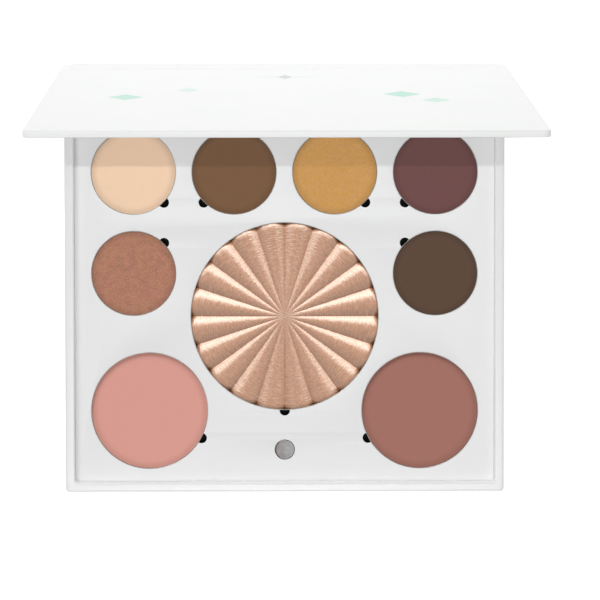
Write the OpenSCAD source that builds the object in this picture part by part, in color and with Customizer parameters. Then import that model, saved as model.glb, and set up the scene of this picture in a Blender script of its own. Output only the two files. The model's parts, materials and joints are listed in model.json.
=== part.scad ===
// Make-up palette with nine lift-out pans: a paper-wrapped board tray with a hinged lid.
// A magnetic sheet in the tray holds the steel pans, and a well insert keeps them in place.
// The origin is the centre of the underside. X runs to the right and Y to the hinge.
// The lid is drawn as it stands open: it turns about the top rear edge.

/* [Pans] */
// Outside diameter of a small eyeshadow pan
eye_pan_d = 26.2; // [18:0.1:36]
// Outside diameter of a medium blush pan
blush_pan_d = 36.2; // [28:0.1:46]
// Outside diameter of the large highlighter pan
face_pan_d = 58.4; // [46:0.1:74]
// Height of every pan
pan_h = 3.6; // [2.8:0.1:5]
// Thickness of the sheet that the pans are pressed from
pan_t = 0.2; // [0.15:0.05:0.5]
// Depth of an eyeshadow's face below its pan's rim
eye_fill_drop = 0.3; // [0.1:0.05:1]
// Depth of a blush's face below its pan's rim
blush_fill_drop = 0.9; // [0.1:0.05:1.5]

/* [Highlighter relief] */
// Height of the flutes' crests above the pan's rim
flute_rise = 0.4; // [0:0.05:0.6]
// Number of flutes round the sunburst
flute_count = 20; // [12:1:32]
// Depth of the valley between two flutes, at the pan's wall
flute_depth = 1.4; // [0.5:0.05:1.6]
// Radius of the smooth hub in the middle
hub_r = 3; // [2:0.1:6]
// Length of the rolled outer end of each flute
flute_roll = 2; // [0.6:0.1:4]
// Drop of a crest over the rolled end
flute_end_drop = 0.8; // [0.3:0.1:1]

/* [Pan layout] */
// Clearance round each pan in its well
pan_gap = 0.3; // [0.2:0.05:0.6]
// Depth of the pans' rims below the insert's face
pan_recess = 0.1; // [0:0.05:0.4]
// Web between two wells of the rear row
row_web = 4.55; // [3:0.05:12]
// Web between wells of different rows
web = 4.75; // [3:0.05:12]
// Web between the highlighter's well and a blush well
blush_web = 3.6; // [2.5:0.05:12]
// Margin from the insert's side to the outermost eyeshadow wells
side_margin = 4.9; // [3:0.1:12]
// Margin from the insert's side to a blush well
blush_margin = 4.7; // [3:0.1:12]
// Margin behind the rear row of wells
rear_margin = 16.9; // [4:0.1:24]
// Margin in front of the blush wells
front_margin = 3.7; // [3:0.1:12]
// Radius of the finger notch beside each well
notch_r = 1.6; // [1.2:0.1:2.4]
// Distance of the notch's centre outside its well's edge
notch_out = 0; // [0:0.1:1.2]

/* [Tray] */
// Thickness of the bottom board
bottom_t = 2; // [1.5:0.1:3]
// Thickness of the wall boards and of the spine board
wall_t = 2.3; // [1.5:0.1:3]
// Thickness of the wrapping paper
paper_t = 0.3; // [0.15:0.05:0.4]
// Outer corner radius of the tray in plan
tray_r = 1; // [0.5:0.1:4]
// Corner radius of the tray's cavity in plan
cavity_r = 1.2; // [0.5:0.1:5]
// Height of the rim above the insert's face
rim_rise = 2.8; // [2.4:0.1:5]
// Thickness of the flexible magnetic sheet
sheet_t = 0.8; // [0.5:0.1:1.5]
// Clearance round the insert in the cavity
insert_gap = 0.1; // [0.05:0.05:0.8]
// Thickness of the white card on top of the insert
face_t = 0.4; // [0.3:0.05:0.8]

/* [Closure] */
// Diameter of both closure magnets
magnet_d = 6.1; // [5:0.1:9]
// Thickness of the tray's magnet
tray_magnet_t = 3.6; // [2:0.1:4.4]
// Thickness of the lid's magnet
lid_magnet_t = 1.1; // [0.8:0.1:1.6]
// Clearance round each magnet in its hole
magnet_gap = 0.1; // [0.05:0.05:0.3]
// Distance of the magnets' centres behind the insert's front edge
magnet_setback = 9.8; // [8:0.1:14]
// Least web between the highlighter's finger notch and the magnet's hole
magnet_web = 4; // [3:0.1:10]

/* [Lid] */
// Angle that the lid stands open, from closed
lid_open = 79.9; // [60:0.1:89]
// Thickness of the lid without its inner panel
lid_t = 2; // [1.6:0.1:3]
// Gap between the rim and the closed lid
lid_gap = 0.2; // [0.1:0.05:0.4]
// Corner radius of the lid in plan
lid_r = 2; // [1:0.1:4]
// Thickness of the inner panel that frames the mirror
panel_t = 1.2; // [1:0.1:1.9]
// Clearance between the closed panel and the cavity's side and rear walls
panel_gap = 1; // [0.6:0.1:2]
// Clearance between the closed panel and the front wall
panel_front_gap = 5.4; // [1:0.1:6]
// Thickness of the mirror glass
mirror_t = 0.9; // [0.7:0.1:1.4]
// Thickness of the adhesive sheet behind the mirror
tape_t = 0.2; // [0.1:0.05:0.3]
// Clearance round the mirror in its window
mirror_gap = 0.2; // [0.1:0.05:0.4]
// Width of the panel beside and behind the mirror
mirror_border = 8; // [5:0.5:20]
// Width of the panel in front of the mirror, which holds the magnet
mirror_front_border = 14; // [13:0.5:30]
// Corner radius of the mirror
mirror_r = 2; // [1:0.1:5]

/* [Hinge] */
// Thickness of the hinge strip
strip_t = 0.2; // [0.15:0.05:0.3]
// Length of the strip that is pasted on the lid's outside
strip_reach = 12.5; // [6:0.5:20]
// Height of the strip's lower edge above the table
strip_foot = 1; // [0.5:0.1:3]
// Inset of the strip's ends from the sides of the case
strip_inset = 2.5; // [2:0.1:6]

/* [Hidden] */
$fn = 96;
// Overshoot of every cut past the face that it opens
cut = 1;
// Flat facets across one flute of the highlighter
flute_steps = 8;

// Heights above the table
board_z = paper_t;
sheet_z = board_z + bottom_t;
pan_z = sheet_z + sheet_t;
insert_z = pan_z + pan_h + pan_recess;
rim_z = insert_z + rim_rise;
lid_z = rim_z + lid_gap;
hinge_z = lid_z + lid_t;

// Wells
eye_r = eye_pan_d / 2 + pan_gap;
blush_r = blush_pan_d / 2 + pan_gap;
face_r = face_pan_d / 2 + pan_gap;
notch_reach = notch_out + notch_r;

// Across the case: four eyeshadow wells set the width
pitch = 2 * eye_r + row_web;
insert_w = 3 * pitch + 2 * eye_r + 2 * side_margin;
wall_in = wall_t + 2 * paper_t;
cavity_w = insert_w + 2 * insert_gap;
case_w = cavity_w + 2 * wall_in;
inner_x = pitch / 2;
outer_x = pitch * 3 / 2;
blush_x = insert_w / 2 - blush_margin - blush_r;

// How far a well lies in front of another one that it clears by "reach", "across" apart in X
function drop(reach, across) = sqrt(max(0, reach * reach - across * across));

// Along the case: distances in front of the rear row of wells
second_row = 2 * eye_r + web;
face_row = max(drop(face_r + eye_r + web, inner_x),
               second_row + drop(face_r + eye_r + web, outer_x));
blush_row = max(face_row + drop(face_r + blush_r + blush_web, blush_x),
                second_row + drop(eye_r + blush_r + web, outer_x - blush_x));
blush_front = blush_row + blush_r + front_margin;
magnet_front = face_row + face_r + notch_reach + magnet_web
             + magnet_d / 2 + magnet_gap + magnet_setback;
insert_d = rear_margin + eye_r + max(blush_front, magnet_front);
cavity_d = insert_d + 2 * insert_gap;
case_d = cavity_d + 2 * wall_in;
rear_y = insert_d / 2 - rear_margin - eye_r;
hinge_y = case_d / 2;
magnet_y = magnet_setback - insert_d / 2;

// Board core inside the wrapping paper
core_w = case_w - 2 * paper_t;
core_d = case_d - 2 * paper_t;
core_r = tray_r - paper_t;

// Lid panel and mirror
panel_w = cavity_w - 2 * panel_gap;
panel_d = cavity_d - panel_gap - panel_front_gap;
panel_y = (panel_front_gap - panel_gap) / 2;
panel_r = max(cavity_r - panel_gap, mirror_r);
panel_z = lid_z - panel_t;
mirror_w = panel_w - 2 * (mirror_border + mirror_gap);
mirror_d = panel_d - mirror_border - mirror_front_border - 2 * mirror_gap;
mirror_y = panel_y + (mirror_front_border - mirror_border) / 2;

// Each pan: centre, pan radius, direction of its finger notch
cream = [[-outer_x, rear_y], eye_pan_d / 2, -45];
brown = [[-inner_x, rear_y], eye_pan_d / 2, -135];
gold = [[inner_x, rear_y], eye_pan_d / 2, -45];
plum = [[outer_x, rear_y], eye_pan_d / 2, -135];
copper = [[-outer_x, rear_y - second_row], eye_pan_d / 2, 45];
umber = [[outer_x, rear_y - second_row], eye_pan_d / 2, 135];
face = [[0, rear_y - face_row], face_pan_d / 2, -90];
pink = [[-blush_x, rear_y - blush_row], blush_pan_d / 2, -28];
mauve = [[blush_x, rear_y - blush_row], blush_pan_d / 2, -152];
PANS = [cream, brown, gold, plum, copper, umber, face, pink, mauve];

// Rounded plate in plan, standing on z
module plate(w, d, r, z, h) {
    translate([0, 0, z])
        linear_extrude(h)
            union() {
                square([w - 2 * r, d], center = true);
                square([w, d - 2 * r], center = true);
                for (x = [-1, 1], y = [-1, 1])
                    translate([x * (w / 2 - r), y * (d / 2 - r)])
                        circle(r);
            }
}

module core_plate(z, h) {
    plate(core_w, core_d, core_r, z, h);
}

// Tray

module bottom_paper() {
    color("white")
        core_plate(0, paper_t);
}

module bottom_board() {
    color("tan")
        core_plate(board_z, bottom_t);
}

// Wall board on the left or on the right, as long as the case
module side_wall(side) {
    h = rim_z - paper_t - sheet_z;
    color("tan")
        intersection() {
            core_plate(sheet_z, h);
            translate([side * (core_w - wall_t) / 2, 0, sheet_z + h / 2])
                cube([wall_t, case_d, h + 2 * cut], center = true);
        }
}

// Wall board at the front or at the rear, between the side walls
module cross_wall(side) {
    h = rim_z - paper_t - sheet_z;
    color("tan")
        translate([0, side * (core_d - wall_t) / 2, sheet_z + h / 2])
            cube([core_w - 2 * wall_t, wall_t, h], center = true);
}

// Paper round the outside, over the rim and down the inside
module tray_wrap() {
    h = rim_z - paper_t - sheet_z;
    color("white")
        difference() {
            plate(case_w, case_d, tray_r, 0, rim_z);
            core_plate(-cut, sheet_z + cut);
            difference() {
                core_plate(sheet_z - cut, h + cut);
                translate([0, 0, sheet_z + h / 2])
                    cube([core_w - 2 * wall_t, core_d - 2 * wall_t, h + 4 * cut], center = true);
            }
            plate(cavity_w, cavity_d, cavity_r, sheet_z - cut, rim_z);
        }
}

module magnetic_sheet() {
    color("dimgray")
        plate(insert_w, insert_d, cavity_r - insert_gap, sheet_z, sheet_t);
}

// Wells, finger notches and magnet hole, cut from z upwards
module wells(z, h) {
    for (p = PANS)
        translate([p[0][0], p[0][1], z]) {
            cylinder(r = p[1] + pan_gap, h = h);
            rotate([0, 0, p[2]])
                translate([p[1] + pan_gap + notch_out, 0, 0])
                    cylinder(r = notch_r, h = h);
        }
    translate([0, magnet_y, z])
        cylinder(r = magnet_d / 2 + magnet_gap, h = h);
}

module insert_layer(z, h) {
    difference() {
        plate(insert_w, insert_d, cavity_r - insert_gap, z, h);
        wells(z - cut, h + 2 * cut);
    }
}

module insert_core() {
    color("black")
        insert_layer(pan_z, insert_z - face_t - pan_z);
}

module insert_face() {
    color("whitesmoke")
        insert_layer(insert_z - face_t, face_t);
}

module tray_magnet() {
    color("silver")
        translate([0, magnet_y, pan_z])
            cylinder(d = magnet_d, h = tray_magnet_t);
}

// Paper strip that is the hinge: up the spine, over the hinge line and onto the lid
module hinge_strip() {
    along = [-cos(lid_open), sin(lid_open)];
    out = [sin(lid_open), cos(lid_open)];
    section = [
        [0, strip_foot - hinge_z],
        [strip_t, strip_foot - hinge_z],
        [strip_t, strip_t * tan((90 - lid_open) / 2)],
        along * strip_reach + out * strip_t,
        along * strip_reach,
        [0, 0]
    ];
    color("white")
        translate([strip_inset - case_w / 2, hinge_y, hinge_z])
            rotate([90, 0, 90])
                linear_extrude(case_w - 2 * strip_inset)
                    polygon(section);
}

// Lid, drawn closed and turned open about the hinge line

module opened() {
    translate([0, hinge_y, hinge_z])
        rotate([-lid_open, 0, 0])
            translate([0, -hinge_y, -hinge_z])
                children();
}

module lid_plate(z, h) {
    plate(core_w, core_d, lid_r - paper_t, z, h);
}

module lid_board() {
    color("tan")
        opened()
            lid_plate(lid_z + paper_t, lid_t - 2 * paper_t);
}

module lid_wrap() {
    color("white")
        opened()
            difference() {
                plate(case_w, case_d, lid_r, lid_z, lid_t);
                lid_plate(lid_z - cut, lid_t - paper_t + cut);
            }
}

module lid_lining() {
    color("white")
        opened()
            lid_plate(lid_z, paper_t);
}

module mirror_panel() {
    color("whitesmoke")
        opened()
            difference() {
                translate([0, panel_y, 0])
                    plate(panel_w, panel_d, panel_r, panel_z, panel_t);
                translate([0, mirror_y, 0])
                    plate(mirror_w + 2 * mirror_gap, mirror_d + 2 * mirror_gap,
                          mirror_r + mirror_gap, panel_z - cut, panel_t + 2 * cut);
                translate([0, magnet_y, panel_z - cut])
                    cylinder(r = magnet_d / 2 + magnet_gap, h = panel_t + 2 * cut);
            }
}

module mirror_tape() {
    color("lightgray")
        opened()
            translate([0, mirror_y, 0])
                plate(mirror_w, mirror_d, mirror_r, lid_z - tape_t, tape_t);
}

module mirror_glass() {
    color("lightsteelblue")
        opened()
            translate([0, mirror_y, 0])
                plate(mirror_w, mirror_d, mirror_r, lid_z - tape_t - mirror_t, mirror_t);
}

module lid_magnet() {
    color("silver")
        opened()
            translate([0, magnet_y, lid_z - lid_magnet_t])
                cylinder(d = magnet_d, h = lid_magnet_t);
}

// Pans and what they hold

module pan(p) {
    color("silver")
        translate([p[0][0], p[0][1], pan_z])
            difference() {
                cylinder(r = p[1], h = pan_h);
                translate([0, 0, pan_t])
                    cylinder(r = p[1] - pan_t, h = pan_h);
            }
}

// Flat pressed powder, its face "fill_drop" below the pan's rim
module powder(p, fill_drop) {
    translate([p[0][0], p[0][1], pan_z + pan_t])
        cylinder(r = p[1] - pan_t, h = pan_h - pan_t - fill_drop);
}

// Pressed sunburst: flutes run straight from the level rim of the hub to the roll at their
// outer ends. "ring" gives one closed loop of points at a radius, and "sink" is how far the
// loop's crests and valleys lie below the level of the hub.
function ring(radius, level, sink, valley) = [
    for (i = [0 : flute_count * flute_steps - 1])
        let (across = 2 * (i % flute_steps) / flute_steps - 1,
             turn = 360 * i / (flute_count * flute_steps))
        [radius * cos(turn), radius * sin(turn), level - sink - valley * across * across]
];

// Faces between loop k and loop k + 1, two triangles to each step
function band(k, n) = [
    for (i = [0 : n - 1])
        let (a = k * n + i, b = k * n + (i + 1) % n)
        each [[a, b, b + n], [a, b + n, a + n]]
];

module sunburst(p) {
    r = p[1] - pan_t;
    top = pan_h - pan_t + flute_rise;
    n = flute_count * flute_steps;
    roll_start = r - flute_roll;
    loops = [
        ring(r, 0, 0, 0),
        ring(r, top, flute_end_drop, flute_depth),
        ring(roll_start, top, 0, flute_depth * roll_start / r),
        ring(hub_r, top, 0, 0)
    ];
    translate([p[0][0], p[0][1], pan_z + pan_t])
        polyhedron(
            points = [for (loop = loops) each loop],
            faces = [
                [for (i = [0 : n - 1]) i],
                for (k = [0 : len(loops) - 2]) each [for (f = band(k, n)) [f[2], f[1], f[0]]],
                [for (i = [n - 1 : -1 : 0]) (len(loops) - 1) * n + i]
            ]
        );
}

bottom_paper();
bottom_board();
side_wall(-1);  // left_wall_board
side_wall(1);  // right_wall_board
cross_wall(-1);  // front_wall_board
cross_wall(1);  // spine_board
tray_wrap();
magnetic_sheet();
insert_core();
insert_face();
tray_magnet();
hinge_strip();
lid_board();
lid_wrap();
lid_lining();
mirror_panel();
mirror_tape();
mirror_glass();  // mirror
lid_magnet();
pan(cream);  // cream_pan
color("bisque") powder(cream, eye_fill_drop);  // cream_shadow
pan(brown);  // brown_pan
color("#7a5c46") powder(brown, eye_fill_drop);  // brown_shadow
pan(gold);  // gold_pan
color("goldenrod") powder(gold, eye_fill_drop);  // gold_shadow
pan(plum);  // plum_pan
color("#6a4244") powder(plum, eye_fill_drop);  // plum_shadow
pan(copper);  // copper_pan
color("#b07c68") powder(copper, eye_fill_drop);  // copper_shadow
pan(umber);  // umber_pan
color("#5c4a3e") powder(umber, eye_fill_drop);  // umber_shadow
pan(face);  // highlighter_pan
color("burlywood") sunburst(face);  // highlighter
pan(pink);  // pink_pan
color("#d99c8f") powder(pink, blush_fill_drop);  // pink_blush
pan(mauve);  // mauve_pan
color("#a37166") powder(mauve, blush_fill_drop);  // mauve_blush
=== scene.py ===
import json
import math

import bmesh
import bpy
from mathutils import Matrix, Vector

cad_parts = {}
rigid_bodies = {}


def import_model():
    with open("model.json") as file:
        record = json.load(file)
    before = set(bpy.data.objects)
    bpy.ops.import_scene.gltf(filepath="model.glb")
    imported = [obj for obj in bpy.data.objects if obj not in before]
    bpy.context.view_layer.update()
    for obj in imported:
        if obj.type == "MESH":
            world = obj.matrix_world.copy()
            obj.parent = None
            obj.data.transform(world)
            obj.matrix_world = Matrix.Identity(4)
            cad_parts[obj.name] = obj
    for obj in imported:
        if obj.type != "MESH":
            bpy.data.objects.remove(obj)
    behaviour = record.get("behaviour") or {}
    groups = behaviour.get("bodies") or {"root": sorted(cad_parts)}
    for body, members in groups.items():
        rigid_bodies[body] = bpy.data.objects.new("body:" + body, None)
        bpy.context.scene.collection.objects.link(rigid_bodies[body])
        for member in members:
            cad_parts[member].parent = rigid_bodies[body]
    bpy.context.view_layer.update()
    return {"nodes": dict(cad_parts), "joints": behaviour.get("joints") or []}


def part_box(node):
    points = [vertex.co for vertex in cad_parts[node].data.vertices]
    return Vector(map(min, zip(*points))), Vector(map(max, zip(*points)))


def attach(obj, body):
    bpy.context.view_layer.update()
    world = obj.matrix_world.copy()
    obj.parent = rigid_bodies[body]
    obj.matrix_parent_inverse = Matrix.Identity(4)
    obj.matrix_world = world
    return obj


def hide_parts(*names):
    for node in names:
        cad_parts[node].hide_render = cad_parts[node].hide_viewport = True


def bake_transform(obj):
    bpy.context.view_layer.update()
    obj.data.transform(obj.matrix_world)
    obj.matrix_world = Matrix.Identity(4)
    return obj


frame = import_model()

nodes = frame["nodes"]
joints = {j["name"]: j for j in frame["joints"]}
MM = 0.001

# Camera: place, turn in degrees, lens and sensor in millimetres
CAMERA_AT = (-4.085 * MM, 29.399 * MM, 794.132 * MM)
CAMERA_TURN = (-2.629, -0.650, -0.067)
CAMERA_LENS = 151.51
CAMERA_SENSOR = 36
CAMERA_CLIP = (0.01, 10)

# Light: what each source adds to a level white surface, and the suns' azimuth (0 is the
# rear, 90 the left), zenith and size in degrees
AMBIENT = 0.35
OVERHEAD = dict(level=0.19, azimuth=0, zenith=2.7, size=0.35)
FRONT = dict(level=0.12, azimuth=180, zenith=11, size=10)
REAR = dict(level=0.26, azimuth=20, zenith=51, size=24)
SHEEN = [dict(level=0.43, azimuth=0, zenith=50, size=44),
         dict(level=0.28, azimuth=45, zenith=50, size=44),
         dict(level=0.28, azimuth=-45, zenith=50, size=44)]
EDGES = [dict(level=0.03, azimuth=0, zenith=82, size=16),
         dict(level=0.065, azimuth=180, zenith=82, size=16),
         dict(level=0.02, azimuth=90, zenith=83, size=16),
         dict(level=0.02, azimuth=-90, zenith=83, size=16)]

# Floor: half its side, how far it lies under the object, and how it glows where it is seen
FLOOR_HALF = 2.0
FLOOR_DROP = 0.1 * MM
FLOOR_GLOW = 0.45

# Papers and board
PAPER = 0.15 * MM
WRAP = 0.30 * MM
WRAP_FOLD = 0.45 * MM
TRAY_R = 1.0 * MM
CAVITY_R = 1.2 * MM
LID_R = 2.0 * MM
INSERT_R = 1.1 * MM
CARD_EDGE = 0.08 * MM
TURN_IN = 11 * MM
LINING_INSET = 3 * MM
LID_CORE_R = 0.4 * MM
LID_LIP = 0.7 * PAPER

# Folds: their steps, the flat part of the rim as shares of the wall, and how much painted shade
# darkens them
FOLD_STEPS = 4
RIM_FLAT = (0.3, 0.7)
INNER_FOLD_SHADE = 0.6
FOOT_SHARE = 0.06
FOOT_SHADE = 0.5
LIP_SHADE = 0.7

# Wells of the insert
PAN_GAP = 0.3 * MM
CARD_LIP = 0.13 * MM
CARD_SNUG = 0.08 * MM
NOTCH_R = 1.6 * MM
NOTCH_OUT = 0.13 * MM
NOTCH_STEPS = 24
MAGNET_GAP = 0.1 * MM

# Pans: wall, rounded foot and rim
PAN_T = 0.12 * MM
PAN_SNUG = 0.12 * MM
PAN_FOOT = 0.6 * MM
PAN_LIP = 0.05 * MM

# Edge of a powder: its rounding and its painted shade, and further in its (inset, fall, painted
# shade), the first two in mm
EDGE_R = 0.2 * MM
POWDER_RIM_SHADE = 0.9
SHOULDER = [(2.4, 0, 0), (1.6, 0, 0.3), (1.0, 0, 0.8), (0.7, 0.01, 1), (0.4, 0.03, 1)]

# Highlighter relief
FLUTES = 20
FLUTE_STEPS = 24
FLUTE_DEPTH = 1.5 * MM
FLUTE_ROUND = 0.5
FLUTE_ROLL = 1.8 * MM
FLUTE_END = 0.6 * MM
FLUTE_HUB = 6 * MM
VALLEY_EASE = 0.5
NICK_LENGTH = 1.6 * MM
NICK_DEPTH = 1.0 * MM
FLUTE_ROWS = 56

# Magnets
MAGNET_EDGE = 0.25 * MM
MAGNET_STEPS = 64
MAGNET_HOLE_STEPS = 48

# Mirror and the panel that frames it
MIRROR_R = 2 * MM
MIRROR_EDGE = 0.15 * MM
MIRROR_GAP = 0.2 * MM
PANEL_R = 2 * MM
PANEL_EDGE = 0.2 * MM

# Hinge strip, and the stretch of it about the hinge line that is cut into short steps
STRIP_T = 0.2 * MM
STRIP_REACH = 12.5 * MM
STRIP_FOOT = 1 * MM
STRIP_INSET = 2.5 * MM
STRIP_BELOW = 2.2 * MM
STRIP_STEP = 0.2 * MM
STRIP_STEPS = 16

# Distance at which points of a mesh are merged
MERGE = 1e-7


# Where things are

HINGE = Vector(joints["lid_hinge"]["pos_m"])
LID_OPEN = math.radians(-joints["lid_hinge"]["range_deg"][0])
UP_THE_LID = Vector((0, -math.cos(LID_OPEN), math.sin(LID_OPEN)))


def lid_turn(angle):
    """Turn about the hinge line that opens the lid by an angle in radians."""
    axis = Vector(joints["lid_hinge"]["axis"])
    turn = Matrix.Rotation(angle, 4, axis)
    return Matrix.Translation(HINGE) @ turn @ Matrix.Translation(-HINGE)


OPENED = lid_turn(LID_OPEN)


def closed_box(node):
    """Lowest and highest corner of a lid node with the lid shut."""
    shut = OPENED.inverted()
    points = [shut @ v.co for v in nodes[node].data.vertices]
    low = Vector([min(p[k] for p in points) for k in range(3)])
    high = Vector([max(p[k] for p in points) for k in range(3)])
    return low, high


def middle(box):
    return (box[0] + box[1]) / 2


def extent(box):
    return box[1] - box[0]


def foot(box):
    """Point at height 0 below the middle of a box."""
    return (middle(box).x, middle(box).y, 0)


# Outlines in plan, as lists of (x, y), anticlockwise

def arc(cx, cy, r, start, end, steps):
    turn = [start + (end - start) * k / steps for k in range(steps + 1)]
    return [(cx + r * math.cos(a), cy + r * math.sin(a)) for a in turn]


def rounded(width, depth, r, centre=(0, 0), steps=8):
    """Rectangle with round corners."""
    points = []
    for k, (sx, sy) in enumerate([(1, 1), (-1, 1), (-1, -1), (1, -1)]):
        start = k * math.pi / 2
        points += arc(centre[0] + sx * (width / 2 - r), centre[1] + sy * (depth / 2 - r),
                      r, start, start + math.pi / 2, steps)
    return points


def round_hole(cx, cy, r, steps=96):
    return arc(cx, cy, r, 0, 2 * math.pi, steps)[:-1]


def notched_hole(cx, cy, r, angle, steps=120):
    """Round well whose edge has a round finger notch in the direction of an angle."""
    reach = r + NOTCH_OUT
    half_well = math.acos((r * r + reach * reach - NOTCH_R ** 2) / (2 * r * reach))
    half_notch = math.acos((NOTCH_R ** 2 + reach * reach - r * r) / (2 * NOTCH_R * reach))
    nx, ny = cx + reach * math.cos(angle), cy + reach * math.sin(angle)
    well = arc(cx, cy, r, angle + half_well, angle + 2 * math.pi - half_well, steps)
    notch = arc(nx, ny, NOTCH_R, angle - math.pi + half_notch, angle + math.pi - half_notch,
                NOTCH_STEPS)
    return well + notch[1:-1]


# Mesh makers

def add_piece(name, mesh, body, material, replaced=()):
    """New piece with its place in its mesh, riding on a body."""
    obj = bpy.data.objects.new(name, mesh)
    bpy.context.scene.collection.objects.link(obj)
    mesh.materials.append(material)
    if body:
        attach(obj, body)
    if replaced:
        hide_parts(*replaced)
    return obj


def finish_mesh(bm, name, turn=None, smooth_angle=30):
    """Merges, points the faces outwards and shades smooth below an angle in degrees."""
    bmesh.ops.remove_doubles(bm, verts=bm.verts, dist=MERGE)
    bmesh.ops.recalc_face_normals(bm, faces=bm.faces)
    if turn is not None:
        bmesh.ops.transform(bm, matrix=turn, verts=bm.verts)
    mesh = bpy.data.meshes.new(name)
    bm.to_mesh(mesh)
    bm.free()
    mesh.shade_smooth()
    mesh.set_sharp_from_angle(angle=math.radians(smooth_angle))
    return mesh


def slab(name, loops, low, high, edge, turn=None, rounds=2):
    """Plate from low to high: the first loop is its outline and the others are holes."""
    curve = bpy.data.curves.new(name + "_outline", "CURVE")
    curve.dimensions = "2D"
    curve.fill_mode = "BOTH"
    curve.bevel_depth = edge
    curve.bevel_resolution = rounds
    curve.offset = -edge
    curve.extrude = (high - low) / 2 - edge
    for loop in loops:
        spline = curve.splines.new("POLY")
        spline.points.add(len(loop) - 1)
        for point, (x, y) in zip(spline.points, loop):
            point.co = (x, y, 0, 1)
        spline.use_cyclic_u = True
    holder = bpy.data.objects.new(name + "_outline", curve)
    bpy.context.scene.collection.objects.link(holder)
    bpy.context.view_layer.update()
    flat = holder.evaluated_get(bpy.context.evaluated_depsgraph_get()).to_mesh()
    bm = bmesh.new()
    bm.from_mesh(flat)
    bpy.data.objects.remove(holder)
    bpy.data.curves.remove(curve)
    bmesh.ops.translate(bm, vec=(0, 0, (low + high) / 2), verts=bm.verts)
    return finish_mesh(bm, name, turn)


def skin(name, rows, closed, turn=None):
    """Skin through rows of matching outlines (outline, z, painted shade), drawn on from the
    first one.
    """
    bm = bmesh.new()
    shade_of = bm.verts.layers.float.new("painted_shade")
    outline, z, painted_shade = rows[0]
    verts = [bm.verts.new((x, y, z)) for x, y in outline]
    for v in verts:
        v[shade_of] = painted_shade
    edges = [bm.edges.new(pair) for pair in zip(verts, verts[1:] + verts[:1])]
    if not closed:
        bmesh.ops.contextual_create(bm, geom=edges)
    place = {v: k for k, v in enumerate(verts)}
    for outline, z, painted_shade in rows[1:] + rows[:1] * closed:
        drawn = bmesh.ops.extrude_edge_only(bm, edges=edges)["geom"]
        fresh = {}
        for v in [g for g in drawn if isinstance(g, bmesh.types.BMVert)]:
            root = [e.other_vert(v) for e in v.link_edges if e.other_vert(v) in place][0]
            fresh[v] = place[root]
            v.co = (*outline[place[root]], z)
            v[shade_of] = painted_shade
        edges = [g for g in drawn if isinstance(g, bmesh.types.BMEdge)
                 and all(v in fresh for v in g.verts)]
        place = fresh
    if not closed:
        bmesh.ops.contextual_create(bm, geom=edges)
    return finish_mesh(bm, name, turn)


def blend_outlines(a, b, share):
    return [(ax + (bx - ax) * share, ay + (by - ay) * share) for (ax, ay), (bx, by) in zip(a, b)]


def spun(name, profile, at, steps=128, turn=None, smooth_angle=30):
    """Solid of revolution about the upright line through a point.

    The profile is a list of (r, z) or (r, z, painted shade), and the painted shade left out is
    0."""
    bm = bmesh.new()
    shade_of = bm.verts.layers.float.new("painted_shade")
    verts = []
    for r, z, *painted_shade in profile:
        verts.append(bm.verts.new((r, 0, z)))
        verts[-1][shade_of] = sum(painted_shade)
    edges = [bm.edges.new(pair) for pair in zip(verts, verts[1:])]
    bmesh.ops.spin(bm, geom=verts + edges, axis=(0, 0, 1), cent=(0, 0, 0), angle=2 * math.pi,
                   steps=steps, use_merge=True, use_duplicate=False)
    bmesh.ops.translate(bm, vec=at, verts=bm.verts)
    return finish_mesh(bm, name, turn, smooth_angle)


def quarter(r, z, radius, start, steps=4):
    """Round corner of a profile: a quarter circle about (r, z)."""
    return arc(r, z, radius, math.radians(start), math.radians(start + 90), steps)


# Node helpers

def new_material(name, **sockets):
    """Material with a Principled BSDF whose plain values are set on its own sockets."""
    material = bpy.data.materials.new(name)
    material.use_nodes = True
    shader = material.node_tree.nodes["Principled BSDF"]
    for key, value in sockets.items():
        shader.inputs[key.replace("_", " ")].default_value = value
    return material, material.node_tree, shader


def feed(tree, socket, value):
    """Links a socket to an output, or sets it to a plain value."""
    if isinstance(value, bpy.types.NodeSocket):
        tree.links.new(value, socket)
    else:
        socket.default_value = value


def add_node(tree, kind, inputs=None, **settings):
    node = tree.nodes.new(kind)
    for key, value in settings.items():
        setattr(node, key, value)
    for key, value in (inputs or {}).items():
        feed(tree, node.inputs[key], value)
    return node


def maths(tree, operation, *values, clamp=False):
    node = add_node(tree, "ShaderNodeMath", operation=operation, use_clamp=clamp)
    for socket, value in zip(node.inputs, values):
        feed(tree, socket, value)
    return node.outputs[0]


def vector_maths(tree, operation, a, b, output="Vector"):
    node = add_node(tree, "ShaderNodeVectorMath", {0: a, 1: b}, operation=operation)
    return node.outputs[output]


def above(tree, value, threshold, gain, clamp=False):
    """How far a value is above a threshold, times a gain; clamped, it is a mask."""
    over = maths(tree, "SUBTRACT", value, threshold)
    return maths(tree, "MULTIPLY", over, gain, clamp=clamp)


def object_vector(tree):
    return add_node(tree, "ShaderNodeTexCoord").outputs["Object"]


def mottle(tree, scale, detail=3.0, vector=None, **inputs):
    """Noise with about so many blotches to the metre."""
    inputs.update(Vector=object_vector(tree) if vector is None else vector, Scale=scale,
                  Detail=detail)
    return add_node(tree, "ShaderNodeTexNoise", inputs).outputs["Fac"]


def seen_directly(tree):
    """1 for a ray that comes from the camera, a gloss or a glass, and 0 for other light."""
    path = add_node(tree, "ShaderNodeLightPath").outputs
    eye = maths(tree, "MAXIMUM", path["Is Camera Ray"], path["Is Glossy Ray"])
    return maths(tree, "MAXIMUM", eye, path["Is Transmission Ray"])


def mix_colour(tree, share, a, b):
    node = add_node(tree, "ShaderNodeMix", data_type="RGBA")
    for place, value in ((0, share), (6, a), (7, b)):
        feed(tree, node.inputs[place], value)
    return node.outputs[2]


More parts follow.
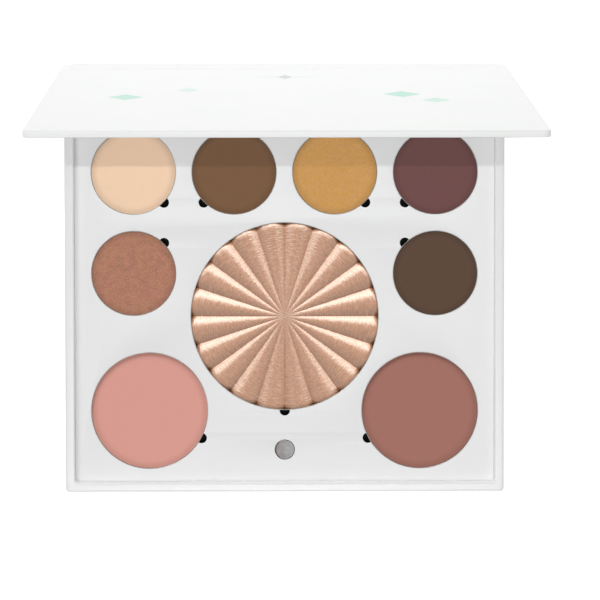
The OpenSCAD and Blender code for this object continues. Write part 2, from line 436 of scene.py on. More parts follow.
def srgb(r, g, b):
    """Linear colour from the usual 0 to 255 screen values."""
    def linear(v):
        v /= 255
        return v / 12.92 if v <= 0.04045 else ((v + 0.055) / 1.055) ** 2.4
    return (linear(r), linear(g), linear(b), 1)


def new_group(name, inputs, outputs):
    group = bpy.data.node_groups.new(name, "ShaderNodeTree")
    for label, kind, value in inputs:
        socket = group.interface.new_socket(label, in_out="INPUT", socket_type=kind)
        if value is not None:
            socket.default_value = value
    for label, kind in outputs:
        group.interface.new_socket(label, in_out="OUTPUT", socket_type=kind)
    return group, group.nodes.new("NodeGroupInput"), group.nodes.new("NodeGroupOutput")


def grain_noise(group, given, size, detail):
    """Noise with blotches as large, in millimetres, as one of the group's inputs."""
    scale = maths(group, "DIVIDE", 1 / MM, given.outputs[size])
    return mottle(group, scale, detail, given.outputs["Vector"])


def make_grain_group():
    """Cloudy tint and fine tooth of a paper or pressed powder."""
    group, given, result = new_group(
        "grain",
        [("Vector", "NodeSocketVector", None), ("Colour", "NodeSocketColor", (0.8, 0.8, 0.8, 1)),
         ("Cloud size", "NodeSocketFloat", 3.0), ("Cloud", "NodeSocketFloat", 0.05),
         ("Tooth size", "NodeSocketFloat", 0.2), ("Tooth", "NodeSocketFloat", 0.05),
         ("Roughness", "NodeSocketFloat", 0.6), ("Rough spread", "NodeSocketFloat", 0.1)],
        [("Colour", "NodeSocketColor"), ("Roughness", "NodeSocketFloat"),
         ("Height", "NodeSocketFloat")])
    cloud = grain_noise(group, given, "Cloud size", 3.0)
    tooth = grain_noise(group, given, "Tooth size", 4.0)
    shade = maths(group, "ADD", above(group, cloud, 0.5, given.outputs["Cloud"]),
                  above(group, tooth, 0.5, given.outputs["Tooth"]))
    tinted = add_node(group, "ShaderNodeVectorMath",
                      {0: given.outputs["Colour"], "Scale": maths(group, "ADD", shade, 1.0)},
                      operation="SCALE").outputs[0]
    spread = above(group, tooth, 0.5, given.outputs["Rough spread"])
    rough = maths(group, "ADD", given.outputs["Roughness"], spread, clamp=True)
    for label, value in (("Colour", tinted), ("Roughness", rough), ("Height", tooth)):
        feed(group, result.inputs[label], value)
    return group


GRAIN = make_grain_group()


def add_grain(tree, shader, colour, bump=0.1, depth=0.02 * MM, **values):
    """Feeds a shader from the grain group, and returns its bump node."""
    grain = add_node(tree, "ShaderNodeGroup", node_tree=GRAIN)
    feed(tree, grain.inputs["Vector"], object_vector(tree))
    feed(tree, grain.inputs["Colour"], colour)
    for key, value in values.items():
        grain.inputs[key.replace("_", " ")].default_value = value
    raised = add_node(tree, "ShaderNodeBump", {"Strength": bump, "Distance": depth,
                                               "Height": grain.outputs["Height"]})
    feed(tree, shader.inputs["Base Color"], grain.outputs["Colour"])
    feed(tree, shader.inputs["Roughness"], grain.outputs["Roughness"])
    feed(tree, shader.inputs["Normal"], raised.outputs[0])
    return raised


def painted_shade_mask(tree):
    """Painted shade written on a piece's points: along folds of paper and round edges of powder.
    """
    return add_node(tree, "ShaderNodeAttribute", attribute_name="painted_shade").outputs["Fac"]


# Materials

# Painted shade along folds of paper and round edges of powder, and patches of a shimmer
FOLD_SHADE_GREY = (0.45, 0.45, 0.44, 1)
EDGE_SHADE = 0.17
SHADE = (0, 0, 0, 1)
PATCH_SCALE = 420.0

# Pearl powder, its ripples round the middle
PEARL_DARK = (0.232, 0.096, 0.044, 1)
PEARL_LIGHT = (0.447, 0.214, 0.12, 1)
RIPPLE_WIDTH = 0.42 * MM
RIPPLES_ROUND = 12.0

# Nickel of the tray's magnet: its two tints, lighter towards +x as painted light, the crescent
# of painted shadow, and the round part that stays clear of it
NICKEL_WARM = srgb(151, 144, 143)
NICKEL_COOL = srgb(168, 169, 168)
NICKEL_SHADOW = srgb(112, 106, 105)
NICKEL_LIGHT_SLOPE = 0.16 / MM
BLOTCH_SCALE = 600.0
CLEAR_CENTRE = (0.55 * MM, -0.1 * MM, 0)
CLEAR_R = 2.95 * MM
SHADOW_SLOPE = 2.2 / MM

# Print on the lid: (x, distance up the lid), half width and half height, and strength
MARBLE = (0.90, 0.93, 0.905, 1)
MARBLE_SCALE = 45.0
MINT = srgb(150, 222, 198)
WASH_SCALE = 260.0
WASH_SPREAD = 0.5
SILVER = srgb(176, 178, 178)
SILVER_SHARE = 0.55
PRINT_CRISP = 14.0
LOZENGES = [((-45 * MM, 72 * MM), (5.2 * MM, 5.5 * MM), 0.75),
            ((-28 * MM, 58 * MM), (3.4 * MM, 4.0 * MM), 0.35),
            ((33 * MM, 66 * MM), (5.6 * MM, 6.0 * MM), 0.8),
            ((42 * MM, 78 * MM), (4.2 * MM, 4.5 * MM), 0.5)]
SILVER_MARKS = [((0.0, 30 * MM), (12 * MM, 0.7 * MM)), ((0.0, 30 * MM), (2.2 * MM, 5.0 * MM))]


def paper_material(name, colour, rough, ior=1.45, painted_shade=0.0, art=None):
    """Wrapping paper; painted shade greys it along the folds, and art prints over it."""
    material, tree, shader = new_material(name, IOR=ior)
    if art:
        colour = art(tree, colour)
    # painted shade greys the paper along its folds
    if painted_shade:
        fold_shade = maths(tree, "MULTIPLY", painted_shade_mask(tree), painted_shade)
        colour = mix_colour(tree, fold_shade, colour, FOLD_SHADE_GREY)
    add_grain(tree, shader, colour, bump=0.12, depth=0.01 * MM, Cloud_size=14.0, Cloud=0.025,
              Tooth_size=0.35, Tooth=0.02, Roughness=rough, Rough_spread=0.12)
    return material


def lozenge(tree, face_x, face_y, centre, half):
    """Mask of a lozenge on the lid: 1 inside it and 0 outside, with crisp edges."""
    reach = [maths(tree, "ABSOLUTE", maths(tree, "DIVIDE", maths(tree, "SUBTRACT", v, c), h))
             for v, c, h in zip((face_x, face_y), centre, half)]
    inside = maths(tree, "SUBTRACT", 1.0, maths(tree, "ADD", *reach))
    return maths(tree, "MULTIPLY", inside, PRINT_CRISP, clamp=True)


def lid_art(tree, colour):
    """Print on the outside of the lid: faint marbling, mint lozenges and a silver mark."""
    place = object_vector(tree)
    face_x = add_node(tree, "ShaderNodeSeparateXYZ", {0: place}).outputs["X"]
    from_hinge = vector_maths(tree, "SUBTRACT", place, HINGE)
    face_y = vector_maths(tree, "DOT_PRODUCT", from_hinge, UP_THE_LID, "Value")
    marble = mottle(tree, MARBLE_SCALE, 4.0, place, Distortion=1.2)
    colour = mix_colour(tree, above(tree, marble, 0.45, 3.0, clamp=True), colour, MARBLE)
    wash = above(tree, mottle(tree, WASH_SCALE, vector=place), 0.5, WASH_SPREAD)
    for centre, half, strength in LOZENGES:
        mask = lozenge(tree, face_x, face_y, centre, half)
        washed = maths(tree, "MULTIPLY", mask, maths(tree, "ADD", wash, strength))
        colour = mix_colour(tree, washed, colour, MINT)
    for centre, half in SILVER_MARKS:
        mask = lozenge(tree, face_x, face_y, centre, half)
        colour = mix_colour(tree, maths(tree, "MULTIPLY", mask, SILVER_SHARE), colour, SILVER)
    return colour


def board_material():
    material, tree, shader = new_material("greyboard")
    add_grain(tree, shader, srgb(168, 160, 148), bump=0.4, depth=0.05 * MM, Cloud_size=2.0,
              Cloud=0.25, Tooth_size=0.3, Tooth=0.3, Roughness=0.9, Rough_spread=0.1)
    return material


def foam_material():
    material, tree, shader = new_material("black_foam", Specular_IOR_Level=0.1)
    add_grain(tree, shader, srgb(9, 9, 10), bump=0.5, depth=0.05 * MM, Cloud_size=1.0,
              Cloud=0.4, Tooth_size=0.25, Tooth=0.6, Roughness=0.92, Rough_spread=0.1)
    return material


def sheet_material():
    material, tree, shader = new_material("magnetic_rubber", Specular_IOR_Level=0.2)
    add_grain(tree, shader, srgb(14, 14, 15), bump=0.3, depth=0.02 * MM, Cloud_size=4.0,
              Cloud=0.3, Tooth_size=0.3, Tooth=0.3, Roughness=0.7, Rough_spread=0.2)
    return material


def metal_material(name, colour, rough, scratch=0.15, cloud=0.1, cloud_size=2.5):
    material, tree, shader = new_material(name, Metallic=1.0)
    add_grain(tree, shader, colour, bump=scratch, depth=0.01 * MM, Cloud_size=cloud_size,
              Cloud=cloud, Tooth_size=0.15, Tooth=0.08, Roughness=rough, Rough_spread=0.15)
    return material


def shaded_nickel_material():
    """Nickel of the tray's magnet, lighter towards one side as painted light, with a dark
    crescent of painted shadow along the other side.
    """
    material, tree, shader = new_material("shadowed_nickel", Metallic=1.0)
    centre = foot(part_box("tray_magnet"))
    from_centre = vector_maths(tree, "SUBTRACT", object_vector(tree), centre)
    across = add_node(tree, "ShaderNodeSeparateXYZ", {0: from_centre}).outputs["X"]
    # painted light: lighter towards +x, mixed with random blotches
    lit_and_blotched = maths(tree, "ADD", maths(tree, "MULTIPLY", across, NICKEL_LIGHT_SLOPE),
                 above(tree, mottle(tree, BLOTCH_SCALE), 0.25, 2.0), clamp=True)
    colour = mix_colour(tree, lit_and_blotched, NICKEL_WARM, NICKEL_COOL)
    # painted shadow: a dark crescent outside a round clear part
    in_plan = vector_maths(tree, "MULTIPLY", from_centre, (1, 1, 0))
    reach = vector_maths(tree, "DISTANCE", in_plan, CLEAR_CENTRE, "Value")
    painted_shadow = above(tree, reach, CLEAR_R, SHADOW_SLOPE, clamp=True)
    colour = mix_colour(tree, painted_shadow, colour, NICKEL_SHADOW)
    add_grain(tree, shader, colour, bump=0.15, depth=0.01 * MM, Cloud_size=0.9, Cloud=0.35,
              Tooth_size=0.15, Tooth=0.08, Roughness=0.3, Rough_spread=0.15)
    return material


def mirror_material():
    material, tree, shader = new_material("mirror_glass", Metallic=1.0, Coat_Weight=1.0,
                                          Coat_Roughness=0.01)
    add_grain(tree, shader, srgb(236, 240, 242), bump=0.0, depth=0.001 * MM, Cloud_size=40.0,
              Cloud=0.02, Tooth_size=6.0, Tooth=0.01, Roughness=0.02, Rough_spread=0.01)
    return material


def powder_material(name, colour, other=None, cloud=0.05, tooth=0.06, cloud_size=2.5,
                    tooth_size=0.4, metallic=0.0, rough=0.85):
    """Pressed powder, darker round its edge with painted shade; a shimmer is mottled with
    another hue.
    """
    material, tree, shader = new_material(name, Metallic=metallic)
    if other:
        patch = above(tree, mottle(tree, PATCH_SCALE), 0.4, 5.0, clamp=True)
        colour = mix_colour(tree, patch, colour, other)
    # painted shade darkens the powder round its edge
    shaded = maths(tree, "MULTIPLY", painted_shade_mask(tree), EDGE_SHADE)
    colour = mix_colour(tree, shaded, colour, SHADE)
    add_grain(tree, shader, colour, bump=0.25, depth=0.03 * MM, Cloud_size=cloud_size,
              Cloud=cloud, Tooth_size=tooth_size, Tooth=tooth, Roughness=rough,
              Rough_spread=0.15)
    return material


def pearl_material():
    """Pearly pressed powder: brown body, pale sheen and fine ripples round the middle."""
    material, tree, shader = new_material("pearl_powder", IOR=2.2,
                                          Specular_Tint=(1, 0.95, 0.85, 1))
    centre = foot(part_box("highlighter"))
    from_centre = vector_maths(tree, "SUBTRACT", object_vector(tree), centre)
    parts = add_node(tree, "ShaderNodeSeparateXYZ", {0: from_centre}).outputs
    turn = maths(tree, "ARCTAN2", parts["Y"], parts["X"])
    squares = [maths(tree, "MULTIPLY", parts[k], parts[k]) for k in ("X", "Y")]
    radius = maths(tree, "SQRT", maths(tree, "ADD", *squares))
    along = maths(tree, "MULTIPLY", radius, 1 / RIPPLE_WIDTH)
    across = maths(tree, "MULTIPLY", turn, RIPPLES_ROUND)
    polar = add_node(tree, "ShaderNodeCombineXYZ", {0: along, 1: across}).outputs[0]
    ripple = mottle(tree, 1.0, vector=polar, Roughness=0.6)
    tint = mix_colour(tree, above(tree, ripple, 0.25, 2.0, clamp=True), PEARL_DARK, PEARL_LIGHT)
    raised = add_grain(tree, shader, tint, bump=0.5, depth=0.03 * MM, Cloud_size=3.0, Cloud=0.1,
                       Tooth_size=0.45, Tooth=0.6, Roughness=0.22, Rough_spread=0.1)
    waves = add_node(tree, "ShaderNodeBump", {"Strength": 1.0, "Distance": 0.15 * MM,
                                              "Height": ripple, "Normal": raised.outputs[0]})
    feed(tree, shader.inputs["Normal"], waves.outputs[0])
    return material


# the tray's and the lid's papers carry painted shade along their folds
WHITE_PAPER = paper_material("white_paper", (0.66, 0.66, 0.66, 1), 0.25, 1.6, painted_shade=0.08)
PLAIN_PAPER = paper_material("plain_paper", (0.80, 0.80, 0.80, 1), 0.4)
LID_PAPER = paper_material("lid_paper", (0.92, 0.925, 0.92, 1), 0.34, painted_shade=0.3, art=lid_art)
STRIP_PAPER = paper_material("strip_paper", (0.91, 0.915, 0.91, 1), 0.36)
CARD = paper_material("white_card", (0.805, 0.805, 0.805, 1), 0.7)
BOARD = board_material()
FOAM = foam_material()
RUBBER = sheet_material()
TINPLATE = metal_material("tinplate", srgb(196, 194, 190), 0.35)
NICKEL = metal_material("nickel", srgb(158, 155, 154), 0.3, cloud=0.4, cloud_size=1.2)
SHADED_NICKEL = shaded_nickel_material()
MIRROR = mirror_material()
TAPE = paper_material("adhesive_sheet", (0.7, 0.7, 0.68, 1), 0.6)
PEARL = pearl_material()
POWDERS = {
    "cream": powder_material("cream_powder", srgb(242, 207, 176)),
    "brown": powder_material("brown_powder", srgb(117, 84, 56)),
    "gold": powder_material("gold_powder", srgb(191, 142, 80), srgb(190, 141, 73), cloud=0.12,
                            tooth=0.6, cloud_size=1.5, tooth_size=0.45, metallic=0.35,
                            rough=0.5),
    "plum": powder_material("plum_powder", srgb(106, 69, 67)),
    "copper": powder_material("copper_powder", srgb(160, 111, 85), srgb(161, 108, 88), cloud=0.5,
                              tooth=1.0, cloud_size=2.2, tooth_size=0.5, metallic=0.35,
                              rough=0.5),
    "umber": powder_material("umber_powder", srgb(86, 63, 48)),
    "pink": powder_material("pink_powder", srgb(219, 156, 144), cloud=0.02, tooth=0.04),
    "mauve": powder_material("mauve_powder", srgb(163, 110, 98), cloud=0.03, tooth=0.04),
}


# Tray

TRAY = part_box("tray_wrap")
CASE_W, CASE_D, RIM_Z = extent(TRAY).x, 2 * TRAY[1].y, TRAY[1].z
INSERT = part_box("insert_face")
SHEET_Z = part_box("magnetic_sheet")[0].z
WALL_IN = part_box("front_wall_board")[1].y - TRAY[0].y + WRAP
CAVITY_W, CAVITY_D = CASE_W - 2 * WALL_IN, CASE_D - 2 * WALL_IN
FOLD_TURNS = [math.pi / 2 * k / FOLD_STEPS for k in range(FOLD_STEPS + 1)]


def fold(outer, inner, thick, top, radius):
    """Rows of a fold over the top of a wall, from its outer face to its inner face, with painted
    shade at both turns of the fold.
    """
    rows = []
    for a in FOLD_TURNS:
        inset = radius * (1 - math.cos(a))
        rows.append((blend_outlines(outer, inner, inset / thick),
                     top - radius * (1 - math.sin(a)), math.sin(2 * a)))
    rows += [(blend_outlines(outer, inner, share), top, 0) for share in RIM_FLAT]
    for a in FOLD_TURNS:
        inset = thick - radius * (1 - math.sin(a))
        rows.append((blend_outlines(outer, inner, inset / thick),
                     top - radius * (1 - math.cos(a)), INNER_FOLD_SHADE * math.sin(2 * a)))
    return rows


def make_tray_wrap():
    """Paper over the walls: outside, rim and inside, turned in under the tray."""
    outer = rounded(CASE_W, CASE_D, TRAY_R)
    inner = rounded(CAVITY_W, CAVITY_D, CAVITY_R)
    outer_core = rounded(CASE_W - 2 * WRAP, CASE_D - 2 * WRAP, TRAY_R - WRAP)
    inner_core = rounded(CAVITY_W + 2 * WRAP, CAVITY_D + 2 * WRAP, CAVITY_R + WRAP)
    turned = rounded(CASE_W - 2 * TURN_IN, CASE_D - 2 * TURN_IN, TRAY_R)
    # the foot of the outer wall carries painted shade
    rows = [(blend_outlines(outer, inner, FOOT_SHARE), PAPER, FOOT_SHADE),
            (outer, 2 * PAPER, FOOT_SHADE)]
    rows += fold(outer, inner, WALL_IN, RIM_Z, WRAP_FOLD)
    rows += [(inner, SHEET_Z, 0), (inner_core, SHEET_Z, 0), (inner_core, RIM_Z - WRAP, 0),
             (outer_core, RIM_Z - WRAP, 0), (outer_core, WRAP, 0), (turned, WRAP, 0),
             (turned, PAPER, 0)]
    mesh = skin("tray_paper", rows, closed=True)
    add_piece("tray_paper", mesh, "tray", WHITE_PAPER, ["tray_wrap"])


def make_bottom_paper():
    outline = rounded(CASE_W - 2 * LINING_INSET, CASE_D - 2 * LINING_INSET, TRAY_R)
    mesh = slab("underside_sheet", [outline], 0, PAPER, PAPER / 4)
    add_piece("underside_sheet", mesh, "tray", PLAIN_PAPER, ["bottom_paper"])


# Each pan: its powder's node, its body, and the direction of its notch in degrees
PANS = {
    "cream": dict(fill="cream_shadow", body="cream_eyeshadow", notch=-45),
    "brown": dict(fill="brown_shadow", body="brown_eyeshadow", notch=-135),
    "gold": dict(fill="gold_shadow", body="gold_eyeshadow", notch=-45),
    "plum": dict(fill="plum_shadow", body="plum_eyeshadow", notch=-135),
    "copper": dict(fill="copper_shadow", body="copper_eyeshadow", notch=45),
    "umber": dict(fill="umber_shadow", body="umber_eyeshadow", notch=135),
    "highlighter": dict(fill="highlighter", body="highlighter_refill", notch=-90),
    "pink": dict(fill="pink_blush", body="pink_blusher", notch=-28),
    "mauve": dict(fill="mauve_blush", body="mauve_blusher", notch=-152),
}


def magnet_hole(box):
    return round_hole(middle(box).x, middle(box).y, extent(box).x / 2 + MAGNET_GAP,
                      MAGNET_HOLE_STEPS)


def make_insert_face():
    """Card with a well for each pan; it reaches the front wall and nearly the other walls."""
    slack = (CAVITY_D - extent(INSERT).y) / 2
    width = extent(INSERT).x + 2 * CARD_SNUG
    depth = extent(INSERT).y + slack + CARD_SNUG
    loops = [rounded(width, depth, INSERT_R, (0, (CARD_SNUG - slack) / 2))]
    for name, pan in PANS.items():
        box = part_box(name + "_pan")
        centre, radius = middle(box), extent(box).x / 2 + PAN_GAP - CARD_LIP
        loops.append(notched_hole(centre.x, centre.y, radius, math.radians(pan["notch"])))
    loops.append(magnet_hole(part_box("tray_magnet")))
    mesh = slab("insert_card", loops, INSERT[0].z, INSERT[1].z, CARD_EDGE)
    add_piece("insert_card", mesh, "tray", CARD, ["insert_face"])


def disc_profile(radius, low, high, edge):
    """Half section of a flat disc with rounded edges, from the axis round to the axis."""
    return ([(0, low)] + quarter(radius - edge, low + edge, edge, -90)
            + quarter(radius - edge, high - edge, edge, 0) + [(0, high)])


def magnet_disc(name, box, turn=None):
    profile = disc_profile(extent(box).x / 2, box[0].z, box[1].z, MAGNET_EDGE)
    return spun(name, profile, foot(box), MAGNET_STEPS, turn)


def make_tray_magnet():
    mesh = magnet_disc("tray_magnet_disc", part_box("tray_magnet"))
    add_piece("tray_magnet_disc", mesh, "tray", SHADED_NICKEL, ["tray_magnet"])


# Pans and powders

def make_pan(name, pan):
    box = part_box(name + "_pan")
    radius, low, high = extent(box).x / 2 + PAN_SNUG, box[0].z, box[1].z
    inside = radius - PAN_T
    profile = ([(0, low)] + quarter(radius - PAN_FOOT, low + PAN_FOOT, PAN_FOOT, -90)
               + quarter(radius - PAN_LIP, high - PAN_LIP, PAN_LIP, 0)
               + quarter(inside + PAN_LIP, high - PAN_LIP, PAN_LIP, 90)
               + [(inside, low + PAN_T), (0, low + PAN_T)])
    mesh = spun(name + "_tin", profile, foot(box))
    add_piece(name + "_tin", mesh, pan["body"], TINPLATE, [name + "_pan"])


def filled_radius(name):
    """Radius of the powder in a pan."""
    return extent(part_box(name + "_pan")).x / 2 + PAN_SNUG - PAN_T


def make_powder(name, pan):
    """Pressed powder, flat on top, with a rounded edge darkened by painted shade."""
    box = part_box(pan["fill"])
    radius, low, high = filled_radius(name), box[0].z, box[1].z
    # the shoulder and the rounded edge carry painted shade
    shoulder = [(radius - inset * MM, high - drop * MM, painted_shade) for inset, drop, painted_shade in SHOULDER]
    edge = [(r, z, POWDER_RIM_SHADE)
            for r, z in reversed(quarter(radius - EDGE_R, high - EDGE_R, EDGE_R, 0))]
    profile = [(0, high)] + shoulder + edge + [(radius, low), (0, low)]
    mesh = spun(name + "_powder", profile[::-1], foot(box))
    add_piece(name + "_powder", mesh, pan["body"], POWDERS[name], [pan["fill"]])


def circle_fall(x):
    """Fall of a circle of radius 1 at a distance sideways from its top."""
    return 1 - math.sqrt(max(0, 1 - x * x))


def flute_fall(r, turn, radius):
    """Fall of the sunburst below its crests, at a radius and an angle."""
    across = (turn / (2 * math.pi) * FLUTES) % 1 * 2 - 1
    arch = circle_fall(FLUTE_ROUND * across) / circle_fall(FLUTE_ROUND)
    hub = min(1, r / FLUTE_HUB)
    valley = FLUTE_DEPTH * (r / radius) * arch * hub * hub * (3 - 2 * hub)
    into_roll = max(0, (r - (radius - FLUTE_ROLL)) / FLUTE_ROLL)
    roll = FLUTE_END * circle_fall(into_roll)
    into_nick = max(0, (r - (radius - NICK_LENGTH)) / NICK_LENGTH)
    nick = NICK_DEPTH * into_nick ** 2 * across ** 4
    return valley + roll * (1 - VALLEY_EASE * across * across) + nick


def make_highlighter():
    """Powder pressed into a sunburst: a disc whose top falls between its flutes' crests."""
    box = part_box("highlighter")
    radius, low, high = filled_radius("highlighter"), box[0].z, box[1].z
    top = [(radius * k / FLUTE_ROWS, high) for k in range(1, FLUTE_ROWS + 1)]
    profile = [(0, high)] + top + [(radius, low), (0, low)]
    bm = bmesh.new()
    verts = [bm.verts.new((r, 0, z)) for r, z in profile]
    edges = [bm.edges.new(pair) for pair in zip(verts, verts[1:])]
    bmesh.ops.spin(bm, geom=verts + edges, axis=(0, 0, 1), cent=(0, 0, 0), angle=2 * math.pi,
                   steps=FLUTES * FLUTE_STEPS, use_merge=True, use_duplicate=False)
    bmesh.ops.remove_doubles(bm, verts=bm.verts, dist=MERGE)
    for v in bm.verts:
        if v.co.z > high - 10 * MERGE:
            v.co.z -= flute_fall(v.co.xy.length, math.atan2(v.co.y, v.co.x), radius)
    bmesh.ops.translate(bm, vec=foot(box), verts=bm.verts)
    mesh = finish_mesh(bm, "sunburst", smooth_angle=50)
    add_piece("sunburst", mesh, "highlighter_refill", PEARL, ["highlighter"])


def make_pans():
    for name, pan in PANS.items():
        make_pan(name, pan)
        if name in POWDERS:
            make_powder(name, pan)
    make_highlighter()


# Lid, made shut and turned open

LID = closed_box("lid_wrap")
PANEL = closed_box("mirror_panel")
GLASS = closed_box("mirror")


def lid_ring(inset):
    """Outline of the shut lid, set in."""
    return rounded(extent(LID).x - 2 * inset, extent(LID).y - 2 * inset,
                   max(LID_R - inset, LID_CORE_R), (0, middle(LID).y))


def make_lid_wrap():
    """Paper over the outside and edges of the lid, turned in round its inside."""
    low, high = LID[0].z, LID[1].z
    rows = [(lid_ring(3 * WRAP_FOLD), high, 0)]
    # the outer fold and the lip of the lid carry painted shade
    rows += [(lid_ring(WRAP_FOLD * (1 - math.sin(a))), high - WRAP_FOLD * (1 - math.cos(a)),
              math.sin(2 * a)) for a in FOLD_TURNS]
    rows += [(lid_ring(0), (low + high) / 2, 0), (lid_ring(0), low + 2 * PAPER, 0),
             (lid_ring(LID_LIP), low + PAPER, LIP_SHADE), (lid_ring(TURN_IN), low + PAPER, 0),
             (lid_ring(TURN_IN), low + WRAP, 0), (lid_ring(WRAP), low + WRAP, 0),
             (lid_ring(WRAP), high - WRAP, 0)]
    mesh = skin("lid_paper", rows, closed=False, turn=OPENED)
    add_piece("lid_paper", mesh, "lid", LID_PAPER, ["lid_wrap"])


def make_lid_lining():
    outline = rounded(extent(LID).x - 2 * LINING_INSET, extent(LID).y - 2 * LINING_INSET,
                      LID_R, (0, middle(LID).y))
    mesh = slab("lining_sheet", [outline], LID[0].z, LID[0].z + PAPER, PAPER / 4, OPENED)
    add_piece("lining_sheet", mesh, "lid", PLAIN_PAPER, ["lid_lining"])


def make_mirror_panel():
    centre, window = middle(PANEL), middle(GLASS)
    loops = [rounded(extent(PANEL).x, extent(PANEL).y, PANEL_R, (centre.x, centre.y)),
             rounded(extent(GLASS).x + 2 * MIRROR_GAP, extent(GLASS).y + 2 * MIRROR_GAP,
                     MIRROR_R + MIRROR_GAP, (window.x, window.y)),
             magnet_hole(closed_box("lid_magnet"))]
    mesh = slab("panel_card", loops, PANEL[0].z, PANEL[1].z, PANEL_EDGE, OPENED)
    add_piece("panel_card", mesh, "lid", CARD, ["mirror_panel"])


def make_mirror():
    centre = middle(GLASS)
    outline = rounded(extent(GLASS).x, extent(GLASS).y, MIRROR_R, (centre.x, centre.y))
    mesh = slab("mirror_glass", [outline], GLASS[0].z, GLASS[1].z, MIRROR_EDGE, OPENED)
    add_piece("mirror_glass", mesh, "lid", MIRROR, ["mirror"])


def make_lid_magnet():
    mesh = magnet_disc("lid_magnet_disc", closed_box("lid_magnet"), OPENED)
    add_piece("lid_magnet_disc", mesh, "lid", NICKEL, ["lid_magnet"])


# Hinge

def make_hinge_strip():
    """Paper strip pasted up the spine and on to the lid, which bends at the hinge line."""
    stops = [STRIP_FOOT - HINGE.z]
    stops += [STRIP_STEP * k - STRIP_BELOW for k in range(STRIP_STEPS)]
    stops += [STRIP_REACH]
    half = Vector((CASE_W / 2 - STRIP_INSET, 0, 0))
    bm = bmesh.new()
    spine = [bm.verts.new(HINGE - half + (UP_THE_LID * s if s > 0 else Vector((0, 0, s))))
             for s in stops]
    edges = [bm.edges.new(pair) for pair in zip(spine, spine[1:])]
    wide = bmesh.ops.extrude_edge_only(bm, edges=edges)
    moved = [g for g in wide["geom"] if isinstance(g, bmesh.types.BMVert)]
    bmesh.ops.translate(bm, vec=2 * half, verts=moved)
    bmesh.ops.recalc_face_normals(bm, faces=bm.faces)
    if sum(f.normal.y * f.calc_area() for f in bm.faces) < 0:
        bmesh.ops.reverse_faces(bm, faces=bm.faces)
    bmesh.ops.solidify(bm, geom=bm.faces[:], thickness=-STRIP_T)
    mesh = finish_mesh(bm, "hinge_paper")
    obj = add_piece("hinge_paper", mesh, None, STRIP_PAPER)
    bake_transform(obj)
    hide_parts("hinge_strip")


# Nodes that keep their own shape

def finish_hidden_nodes():
    looks = {"insert_core": FOAM, "magnetic_sheet": RUBBER, "mirror_tape": TAPE,
             "bottom_board": BOARD, "left_wall_board": BOARD, "right_wall_board": BOARD,
             "front_wall_board": BOARD, "spine_board": BOARD, "lid_board": BOARD}
    for name, material in looks.items():
        slots = nodes[name].data.materials
        slots.clear()
        slots.append(material)


# Stage

LID_PIECES = ["lid_paper", "lining_sheet", "panel_card", "mirror_glass", "lid_magnet_disc",
              "hinge_paper", "lid_board", "mirror_tape"]


def add_sun(name, level, azimuth, zenith, size):
    """Sun that adds a level to an upward white face."""
    a, z = math.radians(azimuth), math.radians(zenith)
    towards = Vector((-math.sin(a) * math.sin(z), math.cos(a) * math.sin(z), math.cos(z)))
    light = bpy.data.lights.new(name, "SUN")
    light.energy = level * math.pi / math.cos(z)
    light.angle = math.radians(size)
    obj = bpy.data.objects.new(name, light)
    obj.rotation_mode = "QUATERNION"
    obj.rotation_quaternion = towards.to_track_quat("Z", "Y")
    bpy.context.scene.collection.objects.link(obj)
    return obj


def linked(objects, state):
    """Collection of the objects that lamps are to include or leave out."""
    group = bpy.data.collections.new("linked")
    for obj in objects:
        group.objects.link(obj)
    for entry in group.collection_objects:
        entry.light_linking.link_state = state
    return group


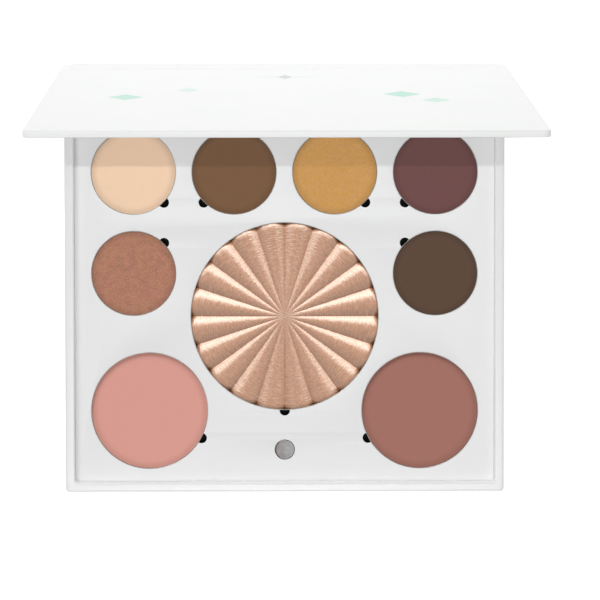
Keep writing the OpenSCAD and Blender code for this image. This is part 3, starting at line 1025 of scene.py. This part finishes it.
def make_lights():
    """Soft studio light; the lid lets the light from the rear through.

    The pieces that lamps leave out are lists that lie one within the next, and only the
    sunburst's own lamps list what they light. With other lists the renderer can lose the
    overhead lamp on the tray's paper, in some runs and not in others."""
    burst = [bpy.data.objects["sunburst"]]
    metal = [o for o in bpy.data.objects if o.name.endswith(("_tin", "magnet_disc"))]
    others = [o for o in bpy.data.objects if o.type == "MESH" and o.name != "tray_paper"]
    overhead = add_sun("overhead", **OVERHEAD)
    rear = add_sun("rear", **REAR)
    front = add_sun("front", **FRONT)
    edges = [add_sun("edge", **lamp) for lamp in EDGES]
    sheen = [add_sun("sheen", **lamp) for lamp in SHEEN]
    for lamp in [overhead] + edges:
        lamp.visible_glossy = False
    lit = (([overhead, rear], linked(burst, "EXCLUDE")),
           ([front], linked(burst + metal, "EXCLUDE")),
           (edges, linked(others, "EXCLUDE")),
           (sheen, linked(burst, "INCLUDE")))
    for lamps, pieces in lit:
        for lamp in lamps:
            lamp.light_linking.receiver_collection = pieces
    lid = linked([bpy.data.objects[name] for name in LID_PIECES], "EXCLUDE")
    for lamp in sheen + [rear, edges[0]]:
        lamp.light_linking.blocker_collection = lid


def make_world():
    """White studio: seen at full strength, and lighting the object as ambient light."""
    world = bpy.data.worlds.new("studio")
    bpy.context.scene.world = world
    world.use_nodes = True
    tree = world.node_tree
    shown = maths(tree, "MULTIPLY", seen_directly(tree), 1 - AMBIENT)
    back = tree.nodes["Background"]
    back.inputs["Color"].default_value = (1, 1, 1, 1)
    feed(tree, back.inputs["Strength"], maths(tree, "ADD", AMBIENT, shown))


def make_floor():
    bm = bmesh.new()
    bmesh.ops.create_grid(bm, x_segments=1, y_segments=1, size=FLOOR_HALF)
    bmesh.ops.translate(bm, vec=(0, 0, -FLOOR_DROP), verts=bm.verts)
    mesh = bpy.data.meshes.new("floor")
    bm.to_mesh(mesh)
    bm.free()
    material, tree, shader = new_material("floor", Base_Color=(0.8, 0.8, 0.8, 1), Roughness=0.9,
                                          Specular_IOR_Level=0.0,
                                          Emission_Color=(1, 1, 1, 1))
    glow = maths(tree, "MULTIPLY", seen_directly(tree), FLOOR_GLOW)
    feed(tree, shader.inputs["Emission Strength"], glow)
    floor = add_piece("floor", mesh, None, material)


def make_camera():
    data = bpy.data.cameras.new("camera")
    data.lens = CAMERA_LENS
    data.sensor_width = CAMERA_SENSOR
    data.clip_start, data.clip_end = CAMERA_CLIP
    camera = bpy.data.objects.new("camera", data)
    camera.location = CAMERA_AT
    camera.rotation_euler = [math.radians(a) for a in CAMERA_TURN]
    bpy.context.scene.collection.objects.link(camera)
    bpy.context.scene.camera = camera


def build():
    make_tray_wrap()
    make_bottom_paper()
    make_insert_face()
    make_tray_magnet()
    make_pans()
    make_lid_wrap()
    make_lid_lining()
    make_mirror_panel()
    make_mirror()
    make_lid_magnet()
    make_hinge_strip()
    finish_hidden_nodes()
    make_camera()
    make_world()
    make_floor()
    make_lights()
    bpy.context.scene.view_settings.view_transform = "Standard"


build()
